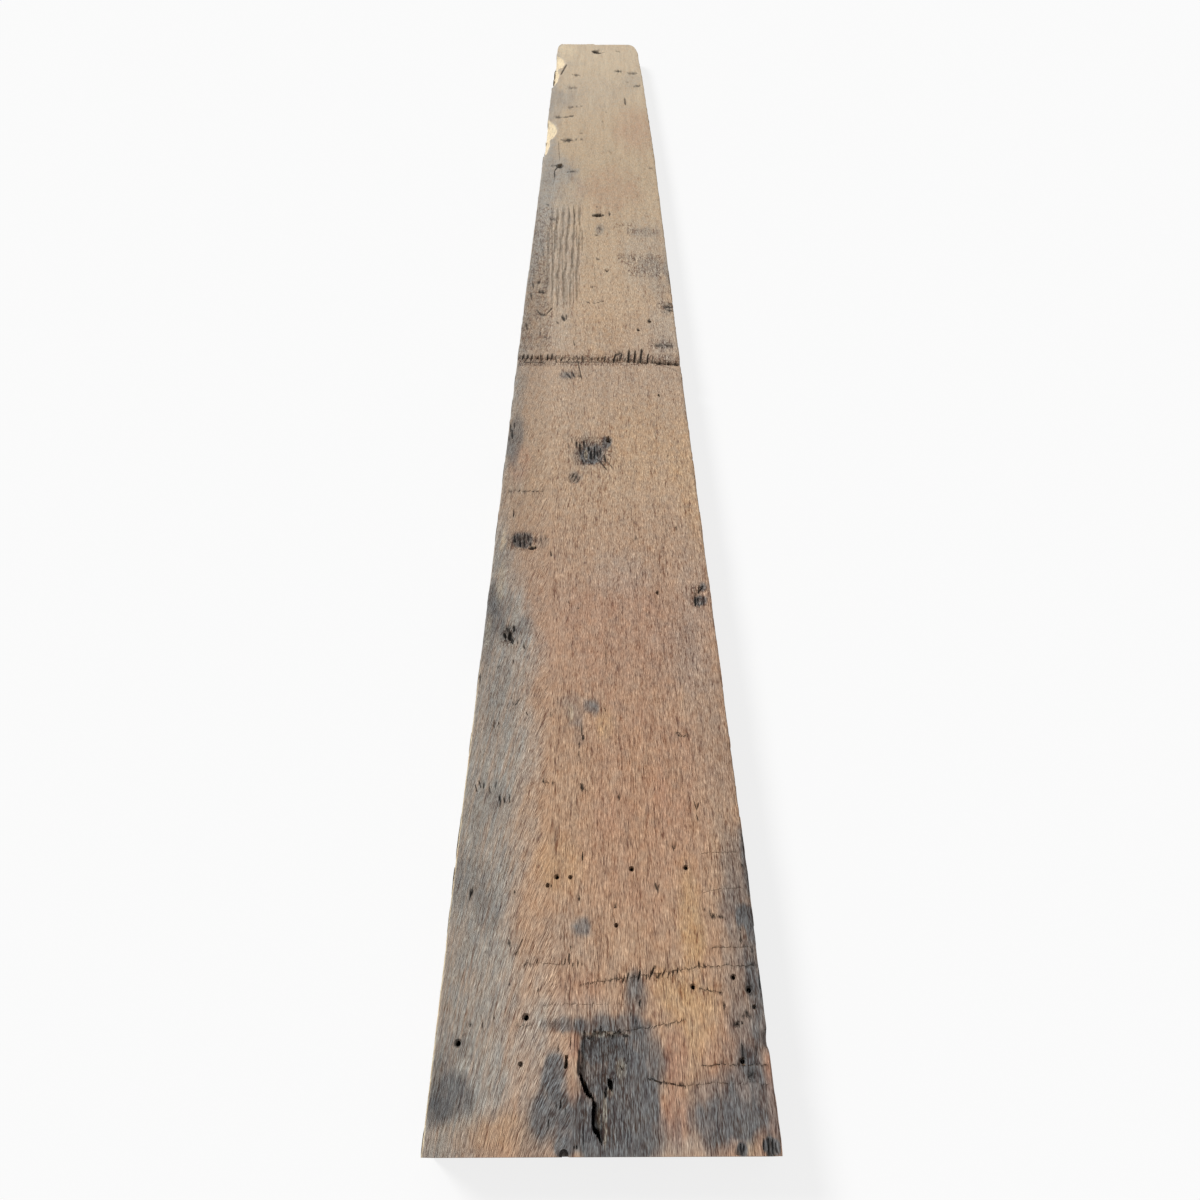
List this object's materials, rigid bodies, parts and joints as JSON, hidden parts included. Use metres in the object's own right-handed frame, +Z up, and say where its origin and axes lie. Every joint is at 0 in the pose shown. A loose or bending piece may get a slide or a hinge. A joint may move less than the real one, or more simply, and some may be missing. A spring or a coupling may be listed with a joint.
{
  "type": "reclaimed oak plank",
  "caption": "Long weathered oak plank with nail holes, a torn splinter at the near end, a worn cross groove, broken far corners and a chipped left edge.",
  "frame": {"origin": "middle of the underside, at the middle of the length and the full width", "axes": "+X across the width, +Y along the grain from the sawn near end to the far end, +Z up through the thickness"},
  "size_m": [0.242, 2.5, 0.045],
  "materials": {
    "oak": "weathered, brushed and left raw, grey and iron-stained in places"
  },
  "bodies": {
    "root": {"plank": "oak"}
  },
  "joints": []
}
